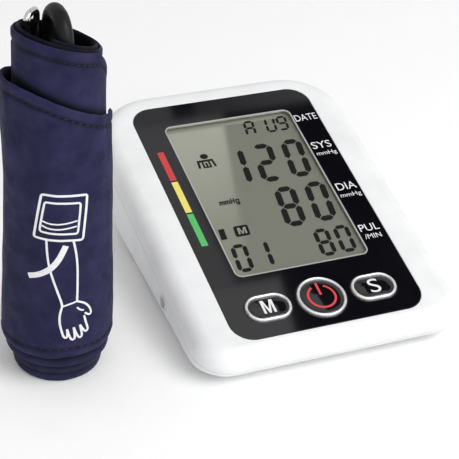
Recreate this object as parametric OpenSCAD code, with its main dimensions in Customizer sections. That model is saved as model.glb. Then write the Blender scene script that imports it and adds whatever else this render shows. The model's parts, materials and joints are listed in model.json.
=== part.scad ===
// Upper arm blood pressure monitor with its rolled arm cuff.
// Units are millimetres: X points right, Y to the back and Z up.
// The origin is on the table, under the middle of the whole set: the monitor stands to the right
// and its rolled cuff to the left.

/* [Face] */
// Tilt of the face, rising towards the back, in degrees
face_tilt = 12; // [11:0.5:13]
// Height of the middle of the face above the table
face_height = 29.4; // [29:0.1:31]
// Width of the black faceplate
panel_w = 80; // [78:1:82]
// Length of the faceplate, up the slope
panel_l = 128.6; // [127:0.2:129]
// Corner radius of the faceplate
panel_r = 9; // [7:0.5:11]
// Thickness of the faceplate
panel_t = 1.8; // [1.6:0.1:2]
// Width of the display window
window_w = 57; // [54:1:58]
// Length of the display window, up the slope
window_l = 86; // [84:1:87]
// Corner radius of the display window
window_r = 3.2; // [2.5:0.1:4]
// Distance from the middle of the face up to the middle of the window
window_y = 9; // [8:0.5:10]

/* [Housing] */
// Width of the housing at the parting line
housing_w = 111; // [110:1:114]
// Reach of the housing in front of the middle of the face
housing_front = 72; // [72:1:74]
// Reach of the housing behind the middle of the face
housing_back = 75; // [74:1:77]
// Corner radius at the front
front_r = 14; // [12:1:16]
// Corner radius at the back
back_r = 26; // [22:1:28]
// Height of the top shell, from the parting line to the face
top_h = 8; // [7.5:0.5:8]
// Thickness of the housing's walls
wall = 2.2; // [1.8:0.1:2.4]
// Height of the rubber feet
foot_h = 1.5; // [1.2:0.1:2]

/* [Keys] */
// Distance from the middle of the face down to the row of keys
key_row = 50.9; // [50:0.1:51]
// Distance between the middle key and the keys beside it
key_pitch = 22.2; // [21.5:0.1:23]
// Width of the two long keys
key_w = 18.6; // [18:0.1:19]
// Depth of the two long keys
key_d = 12.6; // [12:0.1:13]
// Diameter of the power key
power_d = 19.6; // [19:0.1:20]
// Width of the bright ring around each key
ring_w = 1.3; // [1.1:0.1:1.6]
// Travel of the keys
key_travel = 0.6; // [0.4:0.1:0.7]

/* [Cuff] */
// Distance from the monitor's middle to the left, to the middle of the roll
cuff_left = 99; // [98:1:110]
// Distance from the monitor's middle to the front, to the middle of the roll
cuff_front = 30; // [20:1:40]
// Height of the inner turns
cuff_h = 135; // [133:1:138]
// Radius of the hollow in the roll
cuff_hollow_r = 11.6; // [11.6:0.1:12]
// Outer radius at the bottom of the roll
cuff_bottom_r = 20.5; // [20:0.1:21.5]
// Outer radius at the top of the outer turns
cuff_top_r = 18; // [17.5:0.1:19]
// Outer diameter of the air hose
hose_d = 6; // [5:0.5:6]

/* [Hidden] */

$fn = 48;
eps = 0.01;
cut = 1;
white = "#f4f4f2";
navy = "#26264a";
steel = "#c8ccd0";

// Places of the monitor and the cuff, so that the set is centred over the origin
monitor_at = [
    round((cuff_left + cuff_bottom_r - housing_w / 2) / 2),
    round(((housing_front - housing_back) * cos(face_tilt) - 2 * top_h * sin(face_tilt)) / 2)
];
cuff_at = monitor_at - [cuff_left, cuff_front];

// Stack under the face, as distances from the face's plane
shell_roof = panel_t + wall;
window_sink = 0.1;
lcd_top = panel_t + 0.15;
lcd_bottom = lcd_top + 2.2;
lcd_edge = 1.5;
frame_edge = 2.5;
opening_edge = 2.7;
board_top = 8.4;
board_t = 1.6;
board_bottom = board_top + board_t;
board_w = 82;
board_l = 124;

// Fan of slices between the tilted parting plane and the flat base
base_z = foot_h;
floor_z = base_z + wall;
fan_y = (base_z - face_height + top_h / cos(face_tilt)) / tan(face_tilt);
fan_reach = -(fan_y * cos(face_tilt) + (base_z - face_height) * sin(face_tilt));
fan_steps = [0, 0.15, 0.3, 0.45, 0.6, 0.75, 0.86, 0.94, 1];
shoulder = 7.7;
shoulder_steps = 8;
arc_steps = 10;

// Screw posts, from the floor up to the parting plane, and the board's posts
post_at = [[-47, -50], [47, -50], [-47, 40], [47, 40]];
post_r = 3.4;
foot_at = [[-38, -50], [38, -50], [-38, 40], [38, 40]];
foot_r = 4.5;
screw_r = 1.25;
board_post_at = [[-37, -58], [37, -58], [-37, 58], [37, 58]];
board_post_r = 2.6;
board_screw_r = 0.9;

// Keys: name order is left, middle, right
key_x = [-key_pitch, 0, key_pitch];
key_gap = 0.25;
key_flange = 1;
key_flange_t = 1;
ring_rise = 1.2;
cap_rise = 0.7;
plunger_r = 1.6;
plunger_gap = 0.06;
switch_w = 6;
switch_top = 5.2;

// Batteries lie along X, side by side
cell_r = 5.15;
cell_l = 43.5;
cell_pitch = 10.8;
cell_z = 8.7;
cell_x = -24;
cell_y0 = -5.4;
bay_x = [-48.5, 2.5];
bay_y = [-11, 32.8];
bay_top = 14.2;
bay_wall = 1.1;
door_t = 1.6;
door_gap = 0.3;
hinge_r = 0.8;
hinge_pin_r = 0.5;
hinge_pin_l = 1.2;
hinge_y = bay_y[1] - hinge_r - door_gap;
hinge_z = base_z + hinge_r;

// Air system
pump_x = [5, 24, 42];
pump_y = 37;
pump_z = 14.2;
motor_r = 10;
shaft_r = 1;
shaft_gap = 0.05;
pump_nozzle_x = 33;
valve_x = 12;
valve_z = 9.9;
valve_y = [-8, 10];
valve_r = 6;
valve_bore_r = 1.56;
valve_stem_r = 1.5;
manifold_y = -24;
manifold_z = 8;
manifold_x = [8, 38];
nozzle_r = 1.2;
nozzle_l = 6;
tube_d = 4;
tube_gap = 0.05;
socket_y = -26;
socket_z = 11.5;
socket_x = -55.7;
socket_r = 3.4;
socket_bore_r = 2.4;
socket_bore_l = 8.6;
jack_y = 14;
jack_z = 14;
sensor_at = [28, -48];
sensor_w = 9;
sensor_t = 4;

// Cuff, in its own place: X and Y from the middle of the roll
inner_wrap_r = 13.6;
bladder_r = [13.75, 14.75];
hook_r = [14.9, 15.3];
outer_wrap_r = 15.4;
outer_wrap_z = [12, 115];
ring_wire_r = 1.2;
ring_outer_w = 9;
ring_z = [8, 142];
ring_at = 9.7;
ring_angle = 135;
leg = 8.4;
port_z = [54, 66];
plug_z = [14, 38];
hose_route = [
    [0, -8.4, 66], [0, -8.4, 84], [0, -8.4, 102], [0, -8.4, 120], [0, -8.4, 134],
    [0, -6, 140], [0, 0, 142.5], [0, 6, 140], [0, 8.4, 134],
    [0, 8.4, 116], [0, 8.4, 98], [0, 8.4, 80], [0, 8.4, 62], [0, 8.4, 44], [0, 8.4, 26],
    [0, 8.4, 12], [0, 6, 6], [0, 0, 3.6], [0, -6, 6], [0, -8.4, 12],
    [0.4, -8.2, 24], [3, -6.4, 36], [6.4, -3, 46], [8.2, -0.6, 58], [8.4, 0, 72],
    [8.4, 0, 88], [8.4, 0, 104], [8.4, 0, 118], [6, 0, 124], [0, 0, 126.5],
    [-6, 0, 124], [-8.4, 0, 118], [-8.4, 0, 98], [-8.4, 0, 78], [-8.4, 0, 58], [-8.4, 0, 38]
];

// ---------- helpers ----------

module at_monitor() {
    translate([monitor_at[0], monitor_at[1], 0])
        children();
}

module at_cuff() {
    translate([cuff_at[0], cuff_at[1], 0])
        children();
}

module tilted() {
    translate([0, 0, face_height])
        rotate([face_tilt, 0, 0])
            children();
}

module on_face() {
    at_monitor()
        tilted()
            children();
}

// Points of a quarter arc, from its start angle
function arc(cx, cy, r, start) = [
    for (k = [0:arc_steps])
        [cx + r * cos(start + 90 * k / arc_steps), cy + r * sin(start + 90 * k / arc_steps)]
];

// Outline with one corner radius at the front and another at the back
function outline(half, front, back, rf, rb) = concat(
    arc(half - rb, back - rb, rb, 0),
    arc(rb - half, back - rb, rb, 90),
    arc(rf - half, front + rf, rf, 180),
    arc(half - rf, front + rf, rf, 270)
);

function housing_outline(inset) = outline(
    housing_w / 2 - inset, inset - housing_front, housing_back - inset,
    max(front_r - inset, 3), max(back_r - inset, 3)
);

// Slice of the bottom shell: t is 0 at the parting plane and 1 at the base
function fan_outline(t, inset) = outline(
    housing_w / 2 - 0.8 * t - 3.7 * pow(t, 6) - inset,
    fan_reach - housing_front + 7 * t * t + inset,
    fan_reach + housing_back - 30 * t - 3 * pow(t, 8) - inset,
    front_r - 2 * t - inset,
    back_r - 4 * t - inset
);

module fan(inset, first) {
    hull()
        for (t = concat([first], fan_steps))
            translate([0, fan_y, base_z])
                rotate([face_tilt * (1 - t), 0, 0])
                    translate([0, 0, -eps * (1 - t)])
                        linear_extrude(eps)
                            polygon(fan_outline(max(t, 0), inset));
}

module shoulders(inset, height, low) {
    hull()
        for (k = [0:shoulder_steps])
            translate([0, 0, low + (height - eps) * sin(90 * k / shoulder_steps)])
                linear_extrude(eps)
                    polygon(housing_outline(inset + shoulder * (1 - cos(90 * k / shoulder_steps))));
}

module below_parting() {
    tilted()
        translate([-housing_w, -2 * housing_back, -top_h - 100])
            cube([2 * housing_w, 4 * housing_back, 100]);
}

module rounded_rect(w, l, r) {
    square([w - 2 * r, l], center = true);
    square([w, l - 2 * r], center = true);
    for (x = [r - w / 2, w / 2 - r], y = [r - l / 2, l / 2 - r])
        translate([x, y])
            circle(r);
}

module plate(w, l, r, low, high) {
    translate([0, 0, low])
        linear_extrude(high - low)
            rounded_rect(w, l, r);
}

// Plate round the middle of the display window, wider than the window by edge on each side
module window_plate(edge, r, low, high) {
    translate([0, window_y, 0])
        plate(window_w + 2 * edge, window_l + 2 * edge, r, low, high);
}

// Long key outline with round ends, or a circle for the middle key
module key_outline(i, grow) {
    if (i == 1) {
        circle(power_d / 2 + grow);
    } else {
        square([key_w - key_d, key_d + 2 * grow], center = true);
        for (x = [(key_d - key_w) / 2, (key_w - key_d) / 2])
            translate([x, 0])
                circle(key_d / 2 + grow);
    }
}

module key_solid(i, grow, low, high) {
    translate([key_x[i], -key_row, low])
        linear_extrude(high - low)
            key_outline(i, grow);
}

module rod_x(x0, x1, r) {
    translate([x0, 0, 0])
        rotate([0, 90, 0])
            cylinder(h = x1 - x0, r = r);
}

module rod_y(y0, y1, r) {
    translate([0, y0, 0])
        rotate([-90, 0, 0])
            cylinder(h = y1 - y0, r = r);
}

// Round tube swept along a list of points
function unit(v) = v / norm(v);
function tangent(p, i) = unit(p[min(i + 1, len(p) - 1)] - p[max(i - 1, 0)]);
function across(n, t) = unit(n - t * (n * t));
function side_list(p, i, n) = i == len(p) ? [] :
    let (s = across(n, tangent(p, i))) concat([s], side_list(p, i + 1, s));

module tube(path, d, sides, start) {
    normals = side_list(path, 0, start);
    rings = [
        for (i = [0:len(path) - 1])
            let (t = tangent(path, i), u = normals[i], v = cross(t, u))
                for (k = [0:sides - 1])
                    path[i] + d / 2 * (u * cos(360 * k / sides) + v * sin(360 * k / sides))
    ];
    last = (len(path) - 1) * sides;
    walls = [
        for (i = [0:len(path) - 2], k = [0:sides - 1])
            let (a = i * sides + k, b = i * sides + (k + 1) % sides)
                [a, a + sides, b + sides, b]
    ];
    ends = [[for (k = [0:sides - 1]) k], [for (k = [sides - 1:-1:0]) last + k]];
    polyhedron(rings, concat(walls, ends));
}

// ---------- housing ----------

module top_shell() {
    color(white)
        on_face()
            difference() {
                union() {
                    difference() {
                        shoulders(0, top_h, -top_h);
                        difference() {
                            shoulders(wall, top_h - shell_roof + cut, -top_h - cut);
                            plate(300, 300, 1, -shell_roof, cut);
                        }
                    }
                    for (p = board_post_at)
                        translate([p[0], p[1], -board_top])
                            cylinder(h = board_top - shell_roof + eps, r = board_post_r);
                }
                plate(panel_w, panel_l, panel_r, -panel_t, cut);
                window_plate(opening_edge, 4, -shell_roof - cut, cut);
                for (i = [0:2])
                    key_solid(i, key_flange + 0.3, -shell_roof - cut, cut);
                for (p = board_post_at)
                    translate([p[0], p[1], -board_top - cut])
                        cylinder(h = 4, r = board_screw_r);
            }
}

module posts(r, low) {
    for (p = post_at)
        translate([p[0], p[1], low])
            cylinder(h = 60, r = r);
}

module bottom_shell() {
    color(white)
        at_monitor()
            difference() {
                union() {
                    difference() {
                        fan(0, 0);
                        intersection() {
                            fan(wall, -0.03);
                            translate([-100, -100, floor_z])
                                cube([200, 200, 100]);
                        }
                    }
                    intersection() {
                        posts(post_r, floor_z - eps);
                        below_parting();
                    }
                    translate([bay_x[0] - bay_wall, bay_y[0] - bay_wall, base_z + eps])
                        cube([
                            bay_x[1] - bay_x[0] + 2 * bay_wall,
                            bay_y[1] - bay_y[0] + 2 * bay_wall,
                            bay_top + bay_wall - base_z
                        ]);
                }
                translate([bay_x[0], bay_y[0], base_z - cut])
                    cube([bay_x[1] - bay_x[0], bay_y[1] - bay_y[0], bay_top - base_z + cut]);
                translate([0, hinge_y, hinge_z])
                    rod_x(bay_x[0] - hinge_pin_l, bay_x[1] + hinge_pin_l, hinge_pin_r + 0.06);
                posts(screw_r, base_z - cut);
                for (p = post_at)
                    translate([p[0], p[1], base_z - cut])
                        cylinder(h = cut + 1.8, r = 2.6);
                translate([0, socket_y, socket_z])
                    rod_x(socket_x - 2, socket_x + 6, socket_r + 0.05);
                translate([0, jack_y, jack_z])
                    rod_x(48, 60, 3.65);
            }
}

module battery_door() {
    color(white)
        at_monitor()
            difference() {
                union() {
                    translate([bay_x[0] + door_gap, bay_y[0] + door_gap, base_z])
                        cube([
                            bay_x[1] - bay_x[0] - 2 * door_gap,
                            hinge_y - bay_y[0] - door_gap,
                            door_t
                        ]);
                    translate([0, hinge_y, hinge_z])
                        rod_x(bay_x[0] + door_gap, bay_x[1] - door_gap, hinge_r);
                    translate([0, hinge_y, hinge_z])
                        rod_x(bay_x[0] - hinge_pin_l + 0.3, bay_x[1] + hinge_pin_l - 0.3, hinge_pin_r);
                }
                for (k = [0:4])
                    translate([(bay_x[0] + bay_x[1]) / 2 - 8, bay_y[0] + 3 + 2 * k, base_z - cut])
                        cube([16, 1, cut + 0.5]);
            }
}

module rubber_feet() {
    color("#303032")
        at_monitor()
            for (p = foot_at)
                translate([p[0], p[1], 0])
                    cylinder(h = foot_h, r = foot_r);
}

module housing_screws() {
    color(steel)
        at_monitor()
            for (p = post_at)
                translate([p[0], p[1], base_z + 0.3])
                    difference() {
                        union() {
                            cylinder(h = 1.5, r = 2.4);
                            cylinder(h = 7, r = screw_r);
                        }
                        for (a = [0, 90])
                            rotate([0, 0, a])
                                translate([-1.5, -0.3, -cut])
                                    cube([3, 0.6, cut + 0.8]);
                    }
}

// ---------- face ----------

module faceplate() {
    color("#101014")
        on_face()
            difference() {
                plate(panel_w - 0.1, panel_l - 0.1, panel_r, -panel_t, 0);
                window_plate(0, window_r, -panel_t - cut, cut);
                for (i = [0:2])
                    key_solid(i, key_gap, -panel_t - cut, cut);
            }
}

module display_window() {
    color("#dfe4e4", 0.3)
        on_face()
            window_plate(-0.05, window_r - 0.05, -panel_t, -window_sink);
}

module lcd_bezel() {
    color("#c9ccc8")
        on_face()
            difference() {
                window_plate(frame_edge, 3.8, -lcd_bottom, -panel_t);
                window_plate(lcd_edge + 0.1, 0.7, -lcd_bottom - cut, 0);
            }
}

module lcd_glass() {
    color("#a9ae9c")
        on_face()
            window_plate(lcd_edge, 0.6, -lcd_bottom, -lcd_top);
}

module lcd_connector() {
    color("#e8a6b4")
        on_face()
            for (y = [window_y - 41, window_y + 41])
                translate([-25, y - 1.2, -board_top])
                    cube([50, 2.4, board_top - lcd_bottom]);
}

// ---------- keys ----------

module key_ring(i) {
    color(steel)
        on_face()
            difference() {
                key_solid(i, 0, -panel_t, ring_rise);
                key_solid(i, -ring_w, -panel_t - cut, ring_rise + cut);
            }
}

// Black middle with a low dome, and a flange that keeps the key behind the faceplate
module key_cap(i) {
    color("#141418")
        on_face() {
            key_solid(i, -ring_w, -panel_t, cap_rise - 0.4);
            key_solid(i, -ring_w - 0.8, cap_rise - 0.4 - eps, cap_rise);
            key_solid(i, key_flange, -panel_t - key_flange_t - 0.1, -panel_t - 0.1);
            key_solid(i, -ring_w - 1, -panel_t - 0.2, -panel_t + 0.1);
        }
}

module key_plunger(i) {
    color("#d8c8a0")
        on_face()
            translate([key_x[i], -key_row, -switch_top - 0.8])
                cylinder(h = switch_top + 0.8 - panel_t - key_flange_t - 0.1, r = plunger_r);
}

module tact_switch(i) {
    color("#26262a")
        on_face()
            translate([key_x[i], -key_row, 0])
                difference() {
                    translate([-switch_w / 2, -switch_w / 2, -board_top])
                        cube([switch_w, switch_w, board_top - switch_top]);
                    translate([0, 0, -switch_top - 0.8 - key_travel - 0.2])
                        cylinder(h = 10, r = plunger_r + plunger_gap);
                }
}

// ---------- board ----------

module main_board() {
    color("#1f6b3a")
        on_face()
            difference() {
                plate(board_w, board_l, 2, -board_bottom, -board_top);
                for (p = board_post_at)
                    translate([p[0], p[1], -board_bottom - cut])
                        cylinder(h = board_t + 2 * cut, r = board_screw_r + 0.2);
            }
}

module board_screws() {
    color(steel)
        on_face()
            for (p = board_post_at)
                translate([p[0], p[1], -board_bottom - 1.2]) {
                    cylinder(h = 1.2, r = 2);
                    cylinder(h = 1.2 + board_t + 2.5, r = board_screw_r);
                }
}

module board_chips() {
    color("#1c1c1e")
        on_face() {
            translate([-22, 2, -board_bottom - 1.4])
                cube([12, 12, 1.4]);
            translate([4, 34, -board_bottom - 1.2])
                cube([8, 5, 1.2]);
            translate([-30, 40, -board_bottom - 1.2])
                cube([6, 5, 1.2]);
            for (x = [16, 24])
                translate([x, 48, -board_bottom - 5])
                    cylinder(h = 5, r = 2.5);
        }
}

module pressure_sensor() {
    color("#c9cdd2")
        on_face()
            translate([sensor_at[0], sensor_at[1], -board_bottom - sensor_t / 2]) {
                translate([-sensor_w / 2, -sensor_w / 2, -sensor_t / 2])
                    cube([sensor_w, sensor_w, sensor_t]);
                rod_y(sensor_w / 2 - eps, sensor_w / 2 + 3, nozzle_r);
            }
}

module buzzer() {
    color("#18181a")
        on_face()
            translate([-24, -44, -board_bottom - 3])
                difference() {
                    cylinder(h = 3, r = 4.5);
                    translate([0, 0, -cut])
                        cylinder(h = cut + 1, r = 1);
                }
}

// ---------- batteries ----------

module battery(i) {
    flip = i % 2;
    color("#8f9aa6")
        at_monitor()
            translate([cell_x, cell_y0 + cell_pitch * i, cell_z])
                rotate([0, 0, 180 * flip]) {
                    rod_x(-cell_l / 2, cell_l / 2, cell_r);
                    rod_x(cell_l / 2 - eps, cell_l / 2 + 1, 1.9);
                }
}

module battery_contacts() {
    color(steel)
        at_monitor()
            for (i = [0:3], side = [-1, 1]) {
                is_nub = (i % 2 == 0) == (side > 0);
                inner = is_nub ? cell_l / 2 + 1 : cell_l / 2;
                outer = side > 0 ? bay_x[1] - cell_x : cell_x - bay_x[0];
                translate([cell_x, cell_y0 + cell_pitch * i, cell_z])
                    scale([side, 1, 1]) {
                        translate([outer - 0.5, -4.5, -4.5])
                            cube([0.5, 9, 9]);
                        rod_x(inner + 0.02, outer - 0.4, 1.6);
                    }
            }
}

// ---------- air system ----------

module pump_motor_case() {
    color("#b9bec4")
        at_monitor()
            translate([0, pump_y, pump_z])
                difference() {
                    rod_x(pump_x[0], pump_x[1], motor_r);
                    rod_x(pump_x[0] + 1.2, pump_x[1] - 1.2, motor_r - 1);
                    rod_x(pump_x[0] - cut, pump_x[1] + cut, shaft_r + shaft_gap);
                }
}

module pump_magnet() {
    color("#4a4a50")
        at_monitor()
            translate([0, pump_y, pump_z])
                difference() {
                    rod_x(pump_x[0] + 3, pump_x[1] - 3, motor_r - 1);
                    rod_x(pump_x[0] + 2, pump_x[1] - 2, motor_r - 2.2);
                }
}

module pump_rotor() {
    color("#b06a3a")
        at_monitor()
            translate([0, pump_y, pump_z]) {
                rod_x(pump_x[0] - 1, pump_x[1] + 8, shaft_r);
                rod_x(pump_x[0] + 4, pump_x[1] - 4, motor_r - 2.8);
                translate([0, 1, 0])
                    rod_x(pump_x[1] + 3, pump_x[1] + 7, 4);
            }
}

module pump_head() {
    half = 9;
    color("#3a3a3e")
        at_monitor()
            translate([0, pump_y, pump_z])
                difference() {
                    union() {
                        translate([pump_x[1], -half, -half])
                            cube([pump_x[2] - pump_x[1], 2 * half, 2 * half]);
                        translate([pump_nozzle_x, 0, 0])
                            rod_y(-half - 4, -half + eps, nozzle_r);
                    }
                    rod_x(pump_x[1] + 1.5, pump_x[2] - 5, 6.5);
                    rod_x(pump_x[1] - cut, pump_x[1] + 2, shaft_r + shaft_gap);
                }
}

module valve_body() {
    color("#e6e2d6")
        at_monitor()
            translate([valve_x, 0, valve_z])
                difference() {
                    union() {
                        rod_y(valve_y[0], valve_y[1], valve_r);
                        rod_y(valve_y[0] - 3.5, valve_y[0] + eps, nozzle_r);
                    }
                    rod_y(valve_y[1] - 10, valve_y[1] + cut, valve_bore_r);
                }
}

module valve_plunger() {
    color(steel)
        at_monitor()
            translate([valve_x, 0, valve_z]) {
                rod_y(valve_y[1] - 8.5, valve_y[1] + 4, valve_stem_r);
                rod_y(valve_y[1] + 1.5, valve_y[1] + 2.5, 3);
            }
}

// The socket that the hose's plug goes into, in the left wall
module air_socket() {
    color("#ececea")
        at_monitor()
            translate([socket_x, socket_y, socket_z])
                difference() {
                    union() {
                        rod_x(0, socket_bore_l + 1.4, socket_r);
                        rod_x(socket_bore_l, socket_bore_l + 5, nozzle_r);
                    }
                    rod_x(-cut, socket_bore_l, socket_bore_r);
                }
}

module air_manifold() {
    color("#dcdcd8")
        at_monitor()
            translate([0, manifold_y, manifold_z]) {
                rod_x(manifold_x[0] + 3, manifold_x[1], 2.6);
                rod_x(manifold_x[0], manifold_x[0] + 4, nozzle_r);
                for (x = [valve_x, pump_nozzle_x])
                    translate([x, 0, 0])
                        rod_y(0, nozzle_l, nozzle_r);
                translate([sensor_at[0], 0, 0])
                    rod_y(-nozzle_l, 0, nozzle_r);
            }
}

// Silicone tubes, face to face with the nozzles that they join, and straight at both ends
module air_tubes() {
    uphill = [0, cos(face_tilt), sin(face_tilt)];
    sensor_end = [
        sensor_at[0],
        (sensor_at[1] + sensor_w / 2 + 3) * cos(face_tilt) + (board_bottom + sensor_t / 2) * sin(face_tilt),
        face_height + (sensor_at[1] + sensor_w / 2 + 3) * sin(face_tilt)
            - (board_bottom + sensor_t / 2) * cos(face_tilt)
    ];
    manifold_back = manifold_y + nozzle_l + tube_gap;
    manifold_front = manifold_y - nozzle_l - tube_gap;
    pump_end = pump_y - 13 - tube_gap;
    valve_end = valve_y[0] - 3.5 - tube_gap;
    socket_end = socket_x + socket_bore_l + 5 + tube_gap;
    color("#e9e9e4", 0.7)
        at_monitor() {
            tube([
                [pump_nozzle_x, pump_end, pump_z], [pump_nozzle_x, pump_end - 3, pump_z],
                [pump_nozzle_x, 14, 13.4], [pump_nozzle_x, 4, 12], [pump_nozzle_x, -6, 9.6],
                [pump_nozzle_x, manifold_back + 3, manifold_z],
                [pump_nozzle_x, manifold_back, manifold_z]
            ], tube_d, 8, [1, 0, 0]);
            tube([
                [valve_x, valve_end, valve_z], [valve_x, valve_end - 1.5, valve_z],
                [valve_x, manifold_back + 1.5, manifold_z], [valve_x, manifold_back, manifold_z]
            ], tube_d, 8, [1, 0, 0]);
            tube([
                sensor_end + tube_gap * uphill, sensor_end + 1.5 * uphill,
                [sensor_at[0], manifold_front - 1.5, manifold_z],
                [sensor_at[0], manifold_front, manifold_z]
            ], tube_d, 8, [1, 0, 0]);
            tube([
                [manifold_x[0] - tube_gap, manifold_y, manifold_z], [4, manifold_y, manifold_z],
                [-4, -24, 8.2], [-14, -24.5, 9], [-26, -25.5, 10.6],
                [socket_end + 3, socket_y, socket_z], [socket_end, socket_y, socket_z]
            ], tube_d, 8, [0, 1, 0]);
        }
}

module power_jack() {
    color("#1a1a1c")
        at_monitor()
            translate([0, jack_y, jack_z])
                difference() {
                    union() {
                        rod_x(46, 55.2, 3.6);
                        translate([36, -4.5, -4.5])
                            cube([10 + eps, 9, 9]);
                    }
                    difference() {
                        rod_x(44, 57, 2.75);
                        rod_x(43, 54.4, 1);
                    }
                }
}

// ---------- cuff ----------

module cuff_inner_wrap() {
    color(navy)
        at_cuff()
            difference() {
                cylinder(h = cuff_h, r = inner_wrap_r);
                translate([0, 0, -cut])
                    cylinder(h = cuff_h + 2 * cut, r = cuff_hollow_r);
                translate([0, -leg, (port_z[0] + port_z[1]) / 2])
                    rod_y(-8, 0, 2.05);
            }
}

module cuff_bladder() {
    color("#222226")
        at_cuff()
            translate([0, 0, 20])
                difference() {
                    cylinder(h = 86, r = bladder_r[1]);
                    translate([0, 0, -cut])
                        cylinder(h = 86 + 2 * cut, r = bladder_r[0]);
                }
}

module cuff_hook_patch() {
    color("#1b1b24")
        at_cuff()
            translate([0, 0, 20])
                rotate_extrude(angle = 150)
                    translate([hook_r[0], 0])
                        square([hook_r[1] - hook_r[0], 88]);
}

module cuff_outer_wrap() {
    color(navy)
        at_cuff()
            rotate_extrude()
                polygon([
                    [outer_wrap_r, outer_wrap_z[0]], [cuff_bottom_r, outer_wrap_z[0]],
                    [cuff_top_r, outer_wrap_z[1]], [outer_wrap_r, outer_wrap_z[1]]
                ]);
}

// Long wire ring that the free end of the cuff is pulled through
module cuff_bar_ring() {
    half = ring_outer_w / 2 - ring_wire_r;
    ends = [ring_z[0] + ring_wire_r, ring_z[1] - ring_wire_r];
    color(steel)
        at_cuff()
            rotate([0, 0, ring_angle])
                translate([ring_at, 0, 0]) {
                    for (y = [-half, half])
                        translate([0, y, ends[0]])
                            cylinder(h = ends[1] - ends[0], r = ring_wire_r);
                    for (z = ends)
                        translate([0, 0, z])
                            rod_y(-half, half, ring_wire_r);
                    for (y = [-half, half], z = ends)
                        translate([0, y, z])
                            sphere(ring_wire_r);
                }
}

module hose_port() {
    color("#1a1a1c")
        at_cuff()
            translate([0, -leg, 0]) {
                translate([0, 0, port_z[0]])
                    cylinder(h = port_z[1] - port_z[0], r = 3);
                translate([0, 0, (port_z[0] + port_z[1]) / 2])
                    rod_y(-5, 0, 2);
            }
}

module cuff_hose() {
    color("#141416")
        at_cuff()
            tube(hose_route, hose_d, 12, [1, 0, 0]);
}

module hose_plug() {
    tip = 10;
    color("#1c1c1e")
        at_cuff()
            translate([-leg, 0, 0]) {
                translate([0, 0, plug_z[0] + tip])
                    cylinder(h = plug_z[1] - plug_z[0] - tip, r = 3);
                translate([0, 0, plug_z[0]])
                    cylinder(h = tip + eps, r = socket_bore_r - 0.05);
            }
}

top_shell();
bottom_shell();
faceplate();
display_window();
lcd_bezel();
lcd_glass();
lcd_connector();
main_board();
board_chips();
pressure_sensor();
buzzer();
tact_switch(0);  // switch_m
tact_switch(1);  // switch_power
tact_switch(2);  // switch_s
key_cap(0);  // key_m_cap
key_cap(1);  // key_power_cap
key_cap(2);  // key_s_cap
key_ring(0);  // key_m_ring
key_ring(1);  // key_power_ring
key_ring(2);  // key_s_ring
key_plunger(0);  // key_m_plunger
key_plunger(1);  // key_power_plunger
key_plunger(2);  // key_s_plunger
pump_motor_case();
pump_magnet();
pump_rotor();
pump_head();
valve_body();
valve_plunger();
air_socket();
air_manifold();
air_tubes();
power_jack();
battery_door();
battery(0);  // battery_1
battery(1);  // battery_2
battery(2);  // battery_3
battery(3);  // battery_4
battery_contacts();
rubber_feet();
housing_screws();
board_screws();
cuff_inner_wrap();
cuff_outer_wrap();
cuff_bladder();
cuff_hook_patch();
cuff_bar_ring();
hose_port();
cuff_hose();
hose_plug();
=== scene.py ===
"""Upper arm blood pressure monitor with its rolled cuff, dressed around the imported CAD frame."""

import json
import math

import bmesh
import bpy
from mathutils import Matrix, Vector, noise


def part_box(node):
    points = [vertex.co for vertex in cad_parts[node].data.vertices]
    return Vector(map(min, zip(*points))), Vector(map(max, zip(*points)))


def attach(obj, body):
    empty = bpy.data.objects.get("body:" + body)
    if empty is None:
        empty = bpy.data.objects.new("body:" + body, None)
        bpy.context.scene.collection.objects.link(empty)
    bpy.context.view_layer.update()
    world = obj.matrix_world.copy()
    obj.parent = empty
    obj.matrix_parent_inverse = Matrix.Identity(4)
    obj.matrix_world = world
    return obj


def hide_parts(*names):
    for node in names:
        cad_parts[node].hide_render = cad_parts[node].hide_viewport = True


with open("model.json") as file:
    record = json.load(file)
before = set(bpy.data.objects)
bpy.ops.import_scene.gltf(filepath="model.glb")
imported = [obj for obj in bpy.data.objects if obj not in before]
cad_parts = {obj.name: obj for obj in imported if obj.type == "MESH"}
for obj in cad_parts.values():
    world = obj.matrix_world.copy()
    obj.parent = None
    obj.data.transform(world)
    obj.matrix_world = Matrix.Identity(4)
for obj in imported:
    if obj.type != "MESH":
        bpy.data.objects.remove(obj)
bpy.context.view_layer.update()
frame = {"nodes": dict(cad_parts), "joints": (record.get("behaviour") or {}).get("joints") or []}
MM = 0.001

# ---------- places that come from the frame ----------

JOINTS = {j["name"]: j for j in frame["joints"]}
PRESS = Vector(JOINTS["key_power_press"]["axis"])
TILT = math.atan2(PRESS.y, -PRESS.z)
FACE_UP = Vector((0, math.cos(TILT), math.sin(TILT)))
FACE_OUT = -PRESS
PLATE_LOW, PLATE_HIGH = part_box("faceplate")
PLATE_THICK = 1.8
PLATE_CENTRE = (PLATE_LOW + PLATE_HIGH) / 2 + FACE_OUT * PLATE_THICK / 2 * MM
PLATE_W = (PLATE_HIGH.x - PLATE_LOW.x) / MM
PLATE_L = 128.5
CUFF_LOW, CUFF_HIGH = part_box("cuff_outer_wrap")
CUFF_X = (CUFF_LOW.x + CUFF_HIGH.x) / 2
CUFF_Y = (CUFF_LOW.y + CUFF_HIGH.y) / 2


def face(x, y, z=0.0):
    """A point on the tilted face, in mm: x right, y up the slope, z out of the face."""
    return PLATE_CENTRE + Vector((x * MM, 0, 0)) + FACE_UP * (y * MM) + FACE_OUT * (z * MM)


def face_top(name):
    """How high a node reaches above the face's plane, in mm."""
    mesh = frame["nodes"][name].data
    return max((v.co - PLATE_CENTRE).dot(FACE_OUT) for v in mesh.vertices) / MM


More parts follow.
